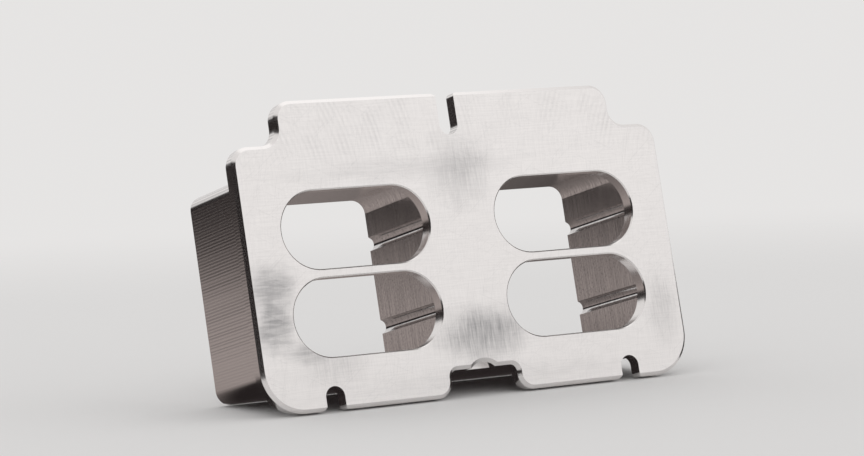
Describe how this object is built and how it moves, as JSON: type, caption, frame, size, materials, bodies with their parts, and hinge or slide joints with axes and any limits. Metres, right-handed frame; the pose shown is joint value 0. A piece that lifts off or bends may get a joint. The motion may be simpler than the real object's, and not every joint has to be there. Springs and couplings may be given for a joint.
{
  "type": "flanged housing",
  "caption": "Machined rectangular flange with a raised tab, obround slots, open screw notches and a lower relief, backed by an open-rear box of grooved bays.",
  "frame": {"origin": "on the flange's front face, in the middle of the slots", "axes": "-Y out of the front face, +Z to the flange's raised tab, +Y towards the box's open rear"},
  "size_m": [0.1016, 0.028, 0.063],
  "materials": {
    "machined_aluminium": "bare, as milled: satin front face, feed marks on the side walls"
  },
  "bodies": {
    "root": {"flanged_housing": "machined_aluminium"}
  },
  "joints": []
}
